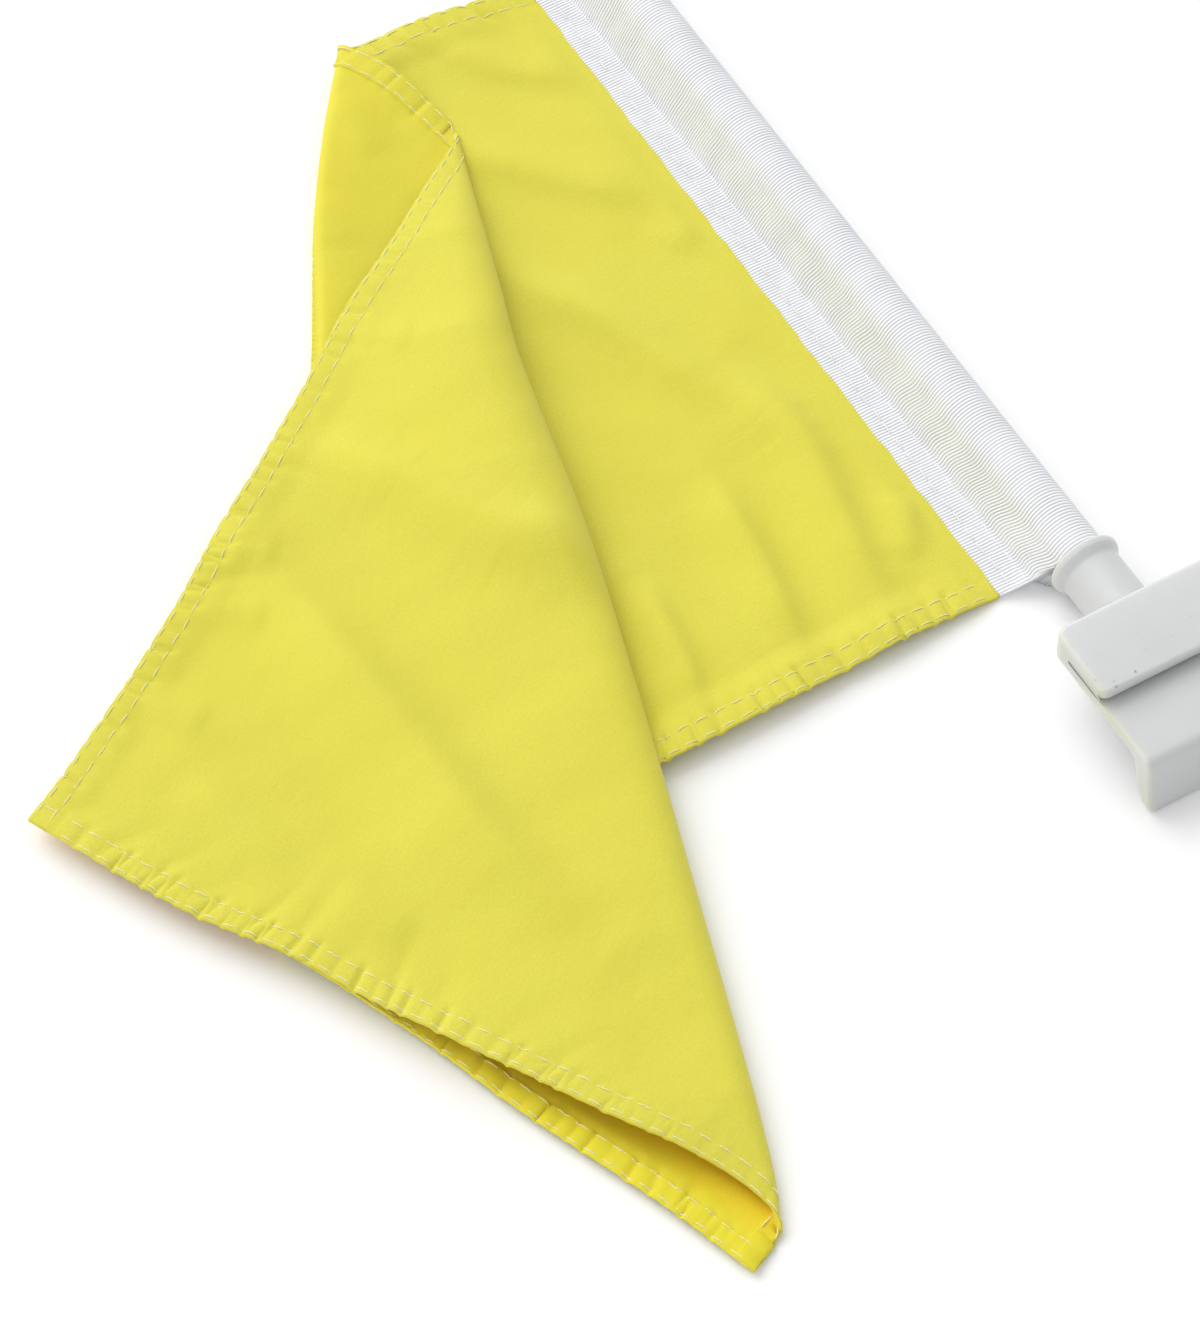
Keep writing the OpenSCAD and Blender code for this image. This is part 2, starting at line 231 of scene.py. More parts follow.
def crease_height(points):
    """Soft creases, each steeper on its shaded side, and a faint ripple of the panel."""
    height = np.zeros(len(points))
    shaded = np.array([-0.3, -0.95])
    for line, width, tall in CREASES:
        line = along(line, 12)[:, :2]
        nearest = np.full(len(points), 1e9)
        lean, share = np.zeros(len(points)), np.zeros(len(points))
        for number, (a, b) in enumerate(zip(line, line[1:])):
            way = b - a
            t = np.clip(((points - a) @ way) / (way @ way), 0, 1)
            off = points - a - t[:, None] * way
            away = np.linalg.norm(off, axis=1)
            closer = away < nearest
            nearest = np.where(closer, away, nearest)
            lean = np.where(closer, off @ shaded / np.maximum(away, 1e-6), lean)
            share = np.where(closer, (number + t) / (len(line) - 1), share)
        spread = width * (1.55 - 0.6 * smooth_step(lean, -0.6, 0.6))
        fade = 0.25 + 0.75 * smooth_step(np.minimum(share, 1 - share), 0, 0.3)
        height += tall * fade * np.exp(-(nearest / spread) ** 2)
    s, t = points.T
    for across, up, phase, tall in RIPPLES:
        height += tall * (1 + np.sin(across * s + up * t + phase))
    return height


def edge_distances(points):
    """Distance of each point from the top, bottom and fly edges of the cut cloth."""
    s, t = points.T
    return HOIST - t, t, FLY - s


def pucker(points):
    """Gathers that the stitches pull into each hem, with soft tails into the panel."""
    s, t = points.T
    total = np.zeros(len(points))
    for distance, run, phase in zip(edge_distances(points), (s, s, t), (0.3, 2.1, 4.4)):
        lean = run + (0.25 + 0.35 * np.sin(run * 0.06 + phase)) * distance
        turns = lean / STITCH_PITCH + 0.3 * np.sin(lean * 0.19 + phase)
        groups = turns / 2.6 + phase
        bars = 0.6 + 0.4 * np.sin(np.floor(turns) * 2.4 + phase)
        bars = bars * np.exp(-((turns % 1 - 0.5) / 0.16) ** 2)
        tails = 0.65 + 0.35 * np.sin(np.floor(groups) * 2.1)
        tails = tails * np.exp(-((groups % 1 - 0.5) / 0.2) ** 2)
        total -= 0.95 * bars * (1 - smooth_step(distance, 4.2, 7.5))
        total -= 0.8 * tails * smooth_step(distance, 2.5, 7) * np.exp(-(distance / 12) ** 2)
    top_gap, bottom_gap, fly_gap = edge_distances(points)
    corner = (1 - smooth_step(np.minimum(top_gap, bottom_gap), 5, 11)) * (1 - smooth_step(fly_gap, 5, 11))
    return total * (1 - 0.9 * corner)


REGIONS = [outline_arrays(o) for o in OUTLINES]
MIDDLE = np.array([FLY / 2, HOIST / 2])


def hem_lift(points, past_one, past_two):
    """How far the hems hold up the cloth along its edges: least at the seam and at the first fold."""
    lift = 1.3 - 0.2 * smooth_step(past_one, -6, 6) - 0.3 * smooth_step(past_two, -6, 6)
    lift = lift * smooth_step(points[:, 0], 0, 28) * (0.1 + 0.9 * smooth_step(np.abs(past_one), 2, 16))
    return lift * (1 - smooth_step(np.min(edge_distances(points), axis=0), 5, 12))


def flag_point(points):
    """Carries points of the cut cloth (along the fly, up the hoist) to the folded flag."""
    points = np.atleast_2d(np.asarray(points, float))
    past_one, down_one, normal_one = fold_distance(points, FOLD_ONE)
    past_two, down_two, normal_two = fold_distance(points, FOLD_TWO)
    radius_one, radius_two = profile(BEND_ONE, down_one), profile(BEND_TWO, down_two)
    shift_one = bend_shift(past_one, radius_one) * np.sign(past_one)
    shift_two = bend_shift(past_two, radius_two) * np.sign(past_two)
    region = (past_one > 0).astype(int) + (past_two > 0)
    moved = points - (shift_one * (region < 2))[:, None] * normal_one
    moved = moved - (shift_two * (region > 0))[:, None] * normal_two
    moved = np.clip(moved, 0, [FLY, HOIST])
    # a hair inside the outline, where mean value coordinates are defined
    moved = MIDDLE + (moved - MIDDLE) * (1 - 2e-6)
    out = np.empty((len(points), 3))
    for number, (cut, lying) in enumerate(REGIONS):
        mine = region == number
        if mine.any():
            out[mine] = spread_inside(moved[mine], cut, lying)
    out_of_seam = smooth_step(points[:, 0], 0, 7)
    lift = hem_lift(points, past_one, past_two)
    flat = out[:, 2] + lift
    # the first bend, from the lowest layer up to the middle one
    angle_one = np.clip(past_one / radius_one, -math.pi / 2, math.pi / 2)
    centre_one = 0.75 + radius_one + lift
    bend_one = centre_one + radius_one * np.sin(angle_one)
    away_one = np.maximum(np.abs(past_one) - radius_one * math.pi / 2, 0)
    near_one = np.exp(-(away_one / np.where(past_one > 0, 16, 9)) ** 2) * (region < 2)
    # the second bend, from the middle layer up to the top one
    angle_two = np.clip(past_two / radius_two, -math.pi / 2, math.pi / 2)
    floor_two = np.interp(down_two, [0, 0.05, 0.6, 0.75, 1], [2.6, 2.4, 2.2, 0.9, 0.8])
    bend_two = floor_two + 0.55 * radius_two * (1 + np.sin(angle_two))
    away_two = np.maximum(np.abs(past_two) - radius_two * math.pi / 2, 0)
    settle = np.where(past_two > 0, profile(SETTLE_TWO, down_two), SETTLE_BEFORE_TWO)
    near_two = np.exp(-(away_two / settle) ** 1.7) * (region > 0)
    height = flat + (bend_one - flat) * near_one
    height = height + (bend_two - height) * near_two
    # creases show where the cloth is seen and fade where layers lie on each other or bend
    seen = 1 - np.exp(-(past_two / 9) ** 2) * (region > 0)
    seen = seen * np.where(region == 0, 1 - smooth_step(points[:, 0] + 0.1 * points[:, 1], 92, 104), 1)
    seen = seen * np.where(region == 1, smooth_step(points[:, 1], 140, 158), 1)
    height = height + CREASE_GAIN * crease_height(points) * seen * out_of_seam
    height = height + pucker(points) * out_of_seam * (1 - 0.8 * np.maximum(near_one, near_two))
    # the floor stops the cloth
    out[:, 2] = CLEARANCE + FLOOR_EASE * np.logaddexp(0, (height - CLEARANCE) / FLOOR_EASE)
    return out


def flag_frame(points, step=0.4):
    """Points of the flag with the unit normal of its front face there."""
    points = np.atleast_2d(np.asarray(points, float))
    across = flag_point(points + [step, 0]) - flag_point(points - [step, 0])
    up = flag_point(points + [0, step]) - flag_point(points - [0, step])
    normal = np.cross(up, across)
    return flag_point(points), normal / np.linalg.norm(normal, axis=1)[:, None]


# ---------------- making objects
def link(obj):
    bpy.context.scene.collection.objects.link(obj)
    return obj


def mesh_object(name, points, faces, uv=None):
    """A smooth-shaded mesh from points in millimetres; uv holds one pair per point."""
    mesh = bpy.data.meshes.new(name)
    places = (np.asarray(points, float) * METRES).tolist()
    mesh.from_pydata(places, [], [tuple(map(int, f)) for f in faces])
    mesh.update()
    if uv is not None:
        layer = mesh.uv_layers.new(name="UVMap")
        corners = np.empty(len(mesh.loops), int)
        mesh.loops.foreach_get("vertex_index", corners)
        layer.data.foreach_set("uv", np.asarray(uv, float)[corners].ravel())
    mesh.polygons.foreach_set("use_smooth", [True] * len(mesh.polygons))
    return link(bpy.data.objects.new(name, mesh))


def dress(obj, body, slot, material, *nodes):
    """Gives a new piece its material and body, and hides the CAD nodes that it stands for. The slot
    argument is not used.
    """
    obj.data.materials.clear()
    obj.data.materials.append(material)
    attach(obj, body)
    if nodes:
        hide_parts(*nodes)
    return obj


def ring_faces(rings, size, caps=True):
    """Faces that join closed rings of points, one after the other."""
    faces = []
    for r in range(rings - 1):
        for k in range(size):
            a, b = r * size + k, r * size + (k + 1) % size
            faces.append((a, b, b + size, a + size))
    if caps:
        faces.append(tuple(range(size))[::-1])
        faces.append(tuple(range((rings - 1) * size, rings * size)))
    return faces


def outward(obj):
    """Turns every face outward."""
    bm = bmesh.new()
    bm.from_mesh(obj.data)
    bmesh.ops.recalc_face_normals(bm, faces=bm.faces)
    bm.to_mesh(obj.data)
    bm.free()
    return obj


def apply_modifiers(obj):
    """Replaces the object's mesh by what its modifiers make of it."""
    depsgraph = bpy.context.evaluated_depsgraph_get()
    mesh = bpy.data.meshes.new_from_object(obj.evaluated_get(depsgraph))
    obj.modifiers.clear()
    obj.data = mesh
    return obj


def rounded(corners, steps=5):
    """An outline from corners (x, y, radius), with an arc at each corner that has a radius."""
    points = []
    count = len(corners)
    for i, (x, y, radius) in enumerate(corners):
        here = np.array([x, y], float)
        before = np.array(corners[i - 1][:2], float) - here
        after = np.array(corners[(i + 1) % count][:2], float) - here
        before_length, after_length = np.linalg.norm(before), np.linalg.norm(after)
        if radius <= 0:
            points.append(here)
            continue
        before, after = before / before_length, after / after_length
        half = math.acos(np.clip(before @ after, -1, 1)) / 2
        reach = min(radius / math.tan(half), before_length * 0.48, after_length * 0.48)
        radius = reach * math.tan(half)
        middle = (before + after) / np.linalg.norm(before + after)
        centre = here + middle * radius / math.sin(half)
        start, end = here + before * reach - centre, here + after * reach - centre
        turn = math.pi - 2 * half
        sign = 1 if start[0] * end[1] - start[1] * end[0] > 0 else -1
        for k in range(steps + 1):
            angle = sign * turn * k / steps
            spin = np.array([[math.cos(angle), -math.sin(angle)], [math.sin(angle), math.cos(angle)]])
            points.append(centre + spin @ start)
    return np.array(points)


def lathe(name, outline, segments=96):
    """A solid turned round the pole's axis from an outline of (y, radius)."""
    outline = np.array(outline, float)
    angles = np.arange(segments) * 2 * math.pi / segments
    on_axis = outline[:, 1] < 1e-6
    points, index = [], []
    for (y, radius), single in zip(outline, on_axis):
        index.append((len(points), single))
        if single:
            points.append((0, y, AXIS_HEIGHT))
        else:
            points += [(radius * math.sin(a), y, AXIS_HEIGHT + radius * math.cos(a)) for a in angles]
    faces = []
    for i in range(len(outline)):
        (a, a_single), (b, b_single) = index[i], index[(i + 1) % len(outline)]
        if a_single and b_single:
            continue
        for k in range(segments):
            n = (k + 1) % segments
            if a_single:
                faces.append((a, b + k, b + n))
            elif b_single:
                faces.append((a + k, a + n, b))
            else:
                faces.append((a + k, a + n, b + n, b + k))
    return outward(mesh_object(name, points, faces))


def smooth_by_angle(obj, degrees):
    """Smooth shading, with a hard edge wherever faces meet more sharply than the angle."""
    bm = bmesh.new()
    bm.from_mesh(obj.data)
    for edge in bm.edges:
        sharp = len(edge.link_faces) == 2 and edge.calc_face_angle(0) > math.radians(degrees)
        edge.smooth = not sharp
    bm.to_mesh(obj.data)
    bm.free()
    obj.data.polygons.foreach_set("use_smooth", [True] * len(obj.data.polygons))
    return obj


# ---------------- materials
class Shader:
    """A short way to write node materials."""

    def __init__(self, name, **principled):
        self.material = bpy.data.materials.new(name)
        self.material.use_nodes = True
        self.tree = self.material.node_tree
        self.surface = self.tree.nodes["Principled BSDF"]
        for key, value in principled.items():
            self.surface.inputs[key.replace("_", " ")].default_value = value

    def node(self, kind, inputs=None, **settings):
        node = self.tree.nodes.new("ShaderNode" + kind)
        for key, value in settings.items():
            setattr(node, key, value)
        for key, value in (inputs or {}).items():
            if isinstance(value, bpy.types.NodeSocket):
                self.tree.links.new(value, node.inputs[key])
            else:
                node.inputs[key].default_value = value
        return node

    def noise(self, vector, scale, detail=3.0, roughness=0.55):
        return self.node("TexNoise", {"Vector": vector, "Scale": scale, "Detail": detail,
                                      "Roughness": roughness}).outputs["Fac"]

    def math(self, operation, a, b=0.0):
        return self.node("Math", {0: a, 1: b}, operation=operation).outputs[0]

    def spread(self, value, low, high, to_low=0.0, to_high=1.0):
        return self.node("MapRange", {"Value": value, "From Min": low, "From Max": high, "To Min": to_low,
                                      "To Max": to_high}).outputs["Result"]

    def mix(self, share, a, b):
        node = self.node("Mix", {"Factor": share}, data_type="RGBA")
        for socket, value in ((node.inputs[6], a), (node.inputs[7], b)):
            if isinstance(value, bpy.types.NodeSocket):
                self.tree.links.new(value, socket)
            else:
                socket.default_value = (*value, 1)
        return node.outputs[2]

    def bump(self, height, distance, strength=1.0, under=None):
        inputs = {"Height": height, "Distance": distance, "Strength": strength}
        if under is not None:
            inputs["Normal"] = under
        return self.node("Bump", inputs).outputs["Normal"]

    def feed(self, key, socket):
        self.tree.links.new(socket, self.surface.inputs[key])


WEAVE_PITCH = 0.3
TAPE_THREAD_PITCH = 0.42
# where the fold stands open, in millimetres along the fly: the painted amber shade inside the fold comes in
# over this stretch
OPEN_FROM, OPEN_FULLY = 150, 235


def cloth_material(name, dark, light, warm, sheen, painted_fold_shade=0.0):
    """Plain woven polyester: warp and weft, faint slubs, and painted amber shade inside the fold, where
    light bounces between the layers.
    """
    m = Shader(name, Roughness=0.72, Sheen_Weight=sheen, Sheen_Roughness=0.4)
    m.surface.inputs["Sheen Tint"].default_value = (1.0, 0.97, 0.7, 1)
    m.surface.inputs["Specular IOR Level"].default_value = 0.3
    uv = m.node("UVMap", uv_map="UVMap").outputs["UV"]
    split = m.node("SeparateXYZ", {0: uv})
    place = m.node("TexCoord").outputs["Object"]
    turns = 2 * math.pi / WEAVE_PITCH
    warp = m.math("SINE", m.math("MULTIPLY", split.outputs["X"], turns))
    weft = m.math("SINE", m.math("MULTIPLY", split.outputs["Y"], turns))
    weave = m.math("MULTIPLY", warp, weft)
    grain = m.noise(uv, 1.6, 4.0, 0.7)
    slub = m.noise(m.node("Mapping", {"Vector": uv, "Scale": (0.03, 0.9, 1)}).outputs["Vector"], 1.5, 2.0)
    broad = m.noise(place, 26.0, 2.0)
    tone = m.mix(m.spread(grain, 0.3, 0.7), dark, light)
    tone = m.mix(m.spread(broad, 0.3, 0.7, 0.0, 0.35), tone, warm)
    tone = m.mix(m.spread(slub, 0.58, 0.8, 0.0, 0.15), tone, (0.76, 0.72, 0.15))
    if painted_fold_shade:
        # painted shade of the light bounced inside the fold: deep yellow first, and amber above the hem
        fold_shade_share = m.spread(split.outputs["X"], OPEN_FROM, OPEN_FULLY, 0.0, painted_fold_shade)
        tone = m.mix(fold_shade_share, tone, (0.80, 0.70, 0.035))
        amber_shade_share = m.math("MULTIPLY", fold_shade_share, m.spread(split.outputs["Y"], 6, 18))
        tone = m.mix(amber_shade_share, tone, (0.86, 0.55, 0.004))
    m.feed("Base Color", tone)
    m.feed("Roughness", m.spread(grain, 0.3, 0.7, 0.62, 0.82))
    soft = m.bump(m.noise(uv, 0.16, 3.0, 0.6), 0.0006, 0.35)
    m.feed("Normal", m.bump(m.math("ADD", m.math("MULTIPLY", weave, 0.5), grain), 0.00008, 0.5, soft))
    return m.material


def tape_material():
    """White grosgrain: round ribs with painted shade in the grey valleys between them, and fine threads
    along the tape.
    """
    m = Shader("ribbed_tape", Roughness=0.62, Sheen_Weight=0.2, Sheen_Roughness=0.45,
               Emission_Strength=0.09)
    # painted light: the tape glows faintly of its own, which lifts its shaded side and keeps the white tape
    # from taking on the cloth's yellow
    m.surface.inputs["Emission Color"].default_value = (0.92, 0.95, 1.0, 1)
    uv = m.node("UVMap", uv_map="UVMap").outputs["UV"]
    split = m.node("SeparateXYZ", {0: uv})
    # U runs round the tape in millimetres, V counts ribs
    turn = m.math("MULTIPLY", split.outputs["Y"], 2 * math.pi)
    rib = m.math("COSINE", turn)
    thread = m.math("SINE", m.math("MULTIPLY", split.outputs["X"], 2 * math.pi / TAPE_THREAD_PITCH))
    drift = m.noise(uv, 0.10, 1.0)
    # painted shade: the valleys between the ribs are darkened toward grey, more in some places than in
    # others
    valley_shade = m.math("MULTIPLY", m.spread(rib, 0.2, -0.95), m.spread(drift, 0.32, 0.62, 0.62, 0.85))
    grain = m.noise(uv, 2.2, 3.0, 0.6)
    white = m.mix(grain, (0.80, 0.81, 0.835), (0.87, 0.88, 0.905))
    m.feed("Base Color", m.mix(m.math("MULTIPLY", valley_shade, 0.78), white, (0.16, 0.165, 0.18)))
    height = m.math("ADD", m.math("MULTIPLY", rib, 0.4), m.math("MULTIPLY", thread, 0.12))
    m.feed("Normal", m.bump(m.math("ADD", height, m.math("MULTIPLY", grain, 0.2)), 0.00012, 0.55))
    m.feed("Roughness", m.spread(grain, 0.3, 0.7, 0.52, 0.72))
    return m.material


def thread_material(name, light, dark):
    """Twisted sewing thread."""
    m = Shader(name, Roughness=0.55, Sheen_Weight=0.3, Sheen_Roughness=0.35)
    place = m.node("TexCoord").outputs["Object"]
    twist = m.node("TexWave", {"Vector": place, "Scale": 900.0, "Distortion": 1.5, "Detail": 1.0},
                   wave_type="BANDS", bands_direction="DIAGONAL").outputs["Fac"]
    m.feed("Base Color", m.mix(twist, dark, light))
    m.feed("Normal", m.bump(twist, 0.00006, 0.6))
    return m.material


def plastic_material(name, tint, shade, wear=1.0, scuffs=()):
    """Moulded natural white plastic: satin, slightly cloudy, with fine scuffs and a few dark specks."""
    m = Shader(name, Roughness=0.42, Subsurface_Weight=0.45, Subsurface_Scale=0.004)
    m.surface.inputs["Subsurface Radius"].default_value = (1.0, 0.95, 0.85)
    m.surface.inputs["IOR"].default_value = 1.49
    place = m.node("TexCoord").outputs["Object"]
    cloud = m.noise(place, 70.0, 3.0)
    fine = m.noise(place, 1500.0, 4.0, 0.6)
    stretched = m.node("Mapping", {"Vector": place, "Scale": (1.0, 0.08, 1.0),
                                   "Rotation": (0.3, 0.2, 0.7)}).outputs["Vector"]
    scratch = m.spread(m.noise(stretched, 1700.0, 2.0), 0.68, 0.74)
    speck = m.math("MULTIPLY", m.spread(m.noise(place, 520.0, 2.0), 0.735, 0.77),
                   m.spread(m.noise(place, 60.0, 1.0), 0.5, 0.6))
    tone = m.mix(m.spread(cloud, 0.3, 0.7), tint, shade)
    tone = m.mix(m.math("MULTIPLY", scratch, 0.10 * wear), tone, (0.55, 0.56, 0.55))
    tone = m.mix(m.math("MULTIPLY", speck, 0.55 * wear), tone, (0.20, 0.19, 0.16))
    if scuffs:
        # both ends of the clip are tinted a patchy yellow grey, and handling has left a few marks
        across = m.math("ABSOLUTE", m.node("SeparateXYZ", {0: place}).outputs["X"])
        end_tint = m.math("MULTIPLY", m.spread(across, 0.0186, 0.0203), m.spread(cloud, 0.35, 0.6, 0.25, 0.8))
        tone = m.mix(end_tint, tone, (0.60, 0.61, 0.47))
    ragged = m.math("MULTIPLY", m.noise(place, 1100.0, 2.0), 0.0011)
    for x, y, size in scuffs:
        away = m.node("VectorMath", {0: place, 1: (x * METRES, y * METRES, FRONT_FACE * METRES)},
                      operation="DISTANCE").outputs["Value"]
        away = m.math("ADD", away, ragged)
        spot = m.spread(away, (size + 0.45) * METRES, (size + 0.2) * METRES, 0.0, 0.7)
        tone = m.mix(spot, tone, (0.22, 0.23, 0.21))
    m.feed("Base Color", tone)
    satin = m.spread(cloud, 0.3, 0.7, 0.34, 0.44)
    m.feed("Roughness", m.math("ADD", satin, m.math("MULTIPLY", scratch, 0.15)))
    height = m.math("ADD", m.math("MULTIPLY", fine, 0.35), cloud)
    height = m.math("SUBTRACT", height, m.math("MULTIPLY", scratch, 0.4))
    m.feed("Normal", m.bump(height, 0.00012, 0.25))
    return m.material


CLOTH = cloth_material("yellow_cloth", (0.665, 0.613, 0.052), (0.750, 0.703, 0.095),
                       (0.730, 0.650, 0.052), sheen=0.25)
CLOTH_BACK = cloth_material("yellow_cloth_back", (0.700, 0.622, 0.048), (0.765, 0.700, 0.076),
                            (0.750, 0.646, 0.038), sheen=0.0, painted_fold_shade=1.0)
TAPE = tape_material()
HEM_THREAD = thread_material("cream_thread", (0.87, 0.84, 0.52), (0.77, 0.72, 0.33))
TAPE_THREAD = thread_material("white_thread", (0.92, 0.92, 0.92), (0.72, 0.73, 0.75))
# scuffs on the front leg's face: x, y and radius
SCUFFS = ((-11.6, 19.9, 0.45), (-14.5, 18.6, 0.35), (-16.9, 18.8, 0.5), (-20.0, 22.3, 0.4))
CLIP_PLASTIC = plastic_material("clip_plastic", (0.625, 0.635, 0.64), (0.60, 0.61, 0.61), 1.0, SCUFFS)
POLE_PLASTIC = plastic_material("pole_plastic", (0.74, 0.745, 0.745), (0.70, 0.705, 0.70), 0.6)


# ---------------- flag
def flag_cloth(step=0.75):
    """One sheet of cloth over the whole cut, folded twice, with a real thickness."""
    s = np.linspace(-SEAM_OVERLAP, FLY - 0.5, int((FLY - 0.5 + SEAM_OVERLAP) / step) + 1)
    t = np.linspace(0.5, HOIST - 0.5, int((HOIST - 1) / step) + 1)
    grid = np.array(np.meshgrid(s, t, indexing="ij")).reshape(2, -1).T
    points = flag_point(np.maximum(grid, [0, 0]))
    # the strip inside the tape's seam runs on flat toward the pole
    tucked = grid[:, 0] < 0
    points[tucked, 0] -= grid[tucked, 0]
    points[tucked, 2] = SEAM_HEIGHT
    rows, columns = len(s), len(t)
    faces = []
    for i in range(rows - 1):
        for j in range(columns - 1):
            a = i * columns + j
            faces.append((a, a + 1, a + columns + 1, a + columns))
    obj = mesh_object("flag_cloth", points, faces, uv=grid)
    thick = obj.modifiers.new("thickness", "SOLIDIFY")
    thick.thickness, thick.offset, thick.use_even_offset = CLOTH_THICKNESS * METRES, 0, False
    apply_modifiers(obj)
    dress(obj, "flag", "cloth", CLOTH, "flag_panel")
    # the modifier puts the second skin's faces straight after the first skin's
    count = len(faces)
    front_first = obj.data.polygons[count // 3].normal.z > 0
    second = np.arange(count, 2 * count)
    return two_sided(obj, second if front_first else np.arange(count))


def two_sided(obj, back_faces):
    """Gives the back of the cloth its own, warmer material."""
    obj.data.materials.append(CLOTH_BACK)
    index = np.zeros(len(obj.data.polygons), int)
    index[back_faces] = 1
    obj.data.polygons.foreach_set("material_index", index)
    return obj


def hem(name, node, run, inward, start, length, front, back):
    """A double turned hem: a closed band along an edge of the cut cloth, standing proud of its back."""
    count = int(length / 0.6)
    where = np.linspace(0, length, count + 1)
    # distance in from the edge, height over the front face
    section = rounded([(0.0, front, 0.22), (0.0, -back, 0.3), (HEM_WIDTH - 0.15, -back, 0.22),
                       (HEM_WIDTH, -0.15, 0), (HEM_WIDTH + 0.25, 0.02, 0), (INNER_ROW + 0.3, front, 0)], 3)
    size = len(section)
    base = np.repeat(start + where[:, None] * run, size, axis=0)
    offset = np.tile(section[:, :1], (count + 1, 1)) * inward
    flat = base + offset
    points, normal = flag_frame(np.clip(flat, 0, [FLY, HOIST]))
    points += normal * np.tile(section[:, 1:], (count + 1, 1))
    obj = outward(mesh_object(name, points, ring_faces(count + 1, size), uv=flat))
    dress(obj, "flag", "cloth", CLOTH, node)
    low_side = section[:, 1] < 0
    band = np.array([low_side[k] and low_side[(k + 1) % size] for k in range(size)])
    return two_sided(obj, np.nonzero(np.tile(band, count))[0])


def stitch_tubes(paths, radius, sides=6):
    """Small closed tubes along short paths, as points and faces."""
    points, faces = [], []
    for path in paths:
        way = np.gradient(path, axis=0)
        way /= np.linalg.norm(way, axis=1)[:, None]
        side = np.cross(way, [0.21, 0.13, 0.97])
        side /= np.linalg.norm(side, axis=1)[:, None]
        lift = np.cross(side, way)
        taper = np.sin(np.linspace(0.25, math.pi - 0.25, len(path))) ** 0.4
        first = len(points)
        for p, a, b, r in zip(path, side, lift, radius * taper):
            for k in range(sides):
                angle = 2 * math.pi * k / sides
                points.append(p + r * (math.cos(angle) * a + math.sin(angle) * b))
        faces += [tuple(first + v for v in face) for face in ring_faces(len(path), sides)]
    return np.array(points), faces


def stitch_row(start, run, length, front, back, phase=0.0):
    """Paths of the visible stitches of one row, on the front and on the back of the flag."""
    paths = []
    shares = np.linspace(0, 1, 7)[None, :, None]
    arch = 0.06 - 0.3 * np.abs(2 * shares - 1) ** 4
    for side, height in ((1, front), (-1, back)):
        first = phase + (STITCH_PITCH / 2 if side < 0 else 0)
        number = np.arange(int((length - first) / STITCH_PITCH))[:, None, None]
        flat = start + (first + number * STITCH_PITCH + shares * STITCH_LENGTH) * run
        flat = flat + 0.13 * np.sin(number * 2.3 + phase) * run[::-1]
        where, normal = flag_frame(np.clip(flat.reshape(-1, 2), 0.05, [FLY - 0.05, HOIST - 0.05]))
        where = where.reshape(flat.shape[:2] + (3,))
        paths += list(where + side * (height + arch) * normal.reshape(where.shape))
    return paths


def thread_piece(name, paths, material=HEM_THREAD, radius=0.15):
    """One row of thread, which stands for the CAD node of the same row."""
    obj = outward(mesh_object(name, *stitch_tubes(paths, radius)))
    return dress(obj, "flag", "thread", material, name.replace("_thread", "_stitching"))


HEM_FRONT = CLOTH_THICKNESS / 2 + 0.03
HEM_BACK = 0.65
# the fly hem is turned over the other two, so it stands out a little further
FLY_FRONT, FLY_BACK = HEM_FRONT + 0.03, HEM_BACK + 0.12
S_RUN, T_RUN = np.array([1.0, 0.0]), np.array([0.0, 1.0])
cloth = flag_cloth()
hems = [
    hem("top_hem_band", "top_hem", S_RUN, -T_RUN, HOIST * T_RUN, FLY, HEM_FRONT, HEM_BACK),
    hem("bottom_hem_band", "bottom_hem", S_RUN, T_RUN, 0 * T_RUN, FLY, HEM_FRONT, HEM_BACK),
    hem("fly_hem_band", "fly_hem", T_RUN, -S_RUN, FLY * S_RUN, HOIST, FLY_FRONT, FLY_BACK),
]


def hem_rows():
    """Every row of thread in the hems, two along each, and the short rows across the corners."""
    made = []
    for row, away in (("edge", EDGE_ROW), ("inner", INNER_ROW)):
        for side, start, run, length, front, back, phase in (
                ("top", (1.0, HOIST - away), S_RUN, FLY - 2, HEM_FRONT, HEM_BACK, 0.6),
                ("bottom", (1.0, away), S_RUN, FLY - 2, HEM_FRONT, HEM_BACK, 1.9),
                ("fly", (FLY - away, HEM_WIDTH), T_RUN, HOIST - 2 * HEM_WIDTH, FLY_FRONT, FLY_BACK, 1.1)):
            paths = stitch_row(np.array(start), run, length, front, back, phase)
            made.append(thread_piece(f"{side}_hem_{row}_thread", paths))
    for corner, t in (("upper", HOIST - HEM_WIDTH), ("lower", 0.6)):
        start = np.array([FLY - INNER_ROW, t])
        paths = stitch_row(start, T_RUN, HEM_WIDTH, HEM_FRONT + 0.05, HEM_BACK + 0.14)
        made.append(thread_piece(f"{corner}_corner_thread", paths))
    return made


threads = hem_rows()


# ---------------- sleeve
RIB_PITCH, STEPS_PER_RIB, RIB_HEIGHT = 0.79, 4, 0.095
SEAM_TOP, SEAM_START = 1.24, 8.9
# distances of the two rows of thread from the tape's free edge, and of the gathers' middle from the axis
OUTER_ROW_IN, INNER_ROW_IN, GATHERS_AT = 3.3, 7.2, 7.2


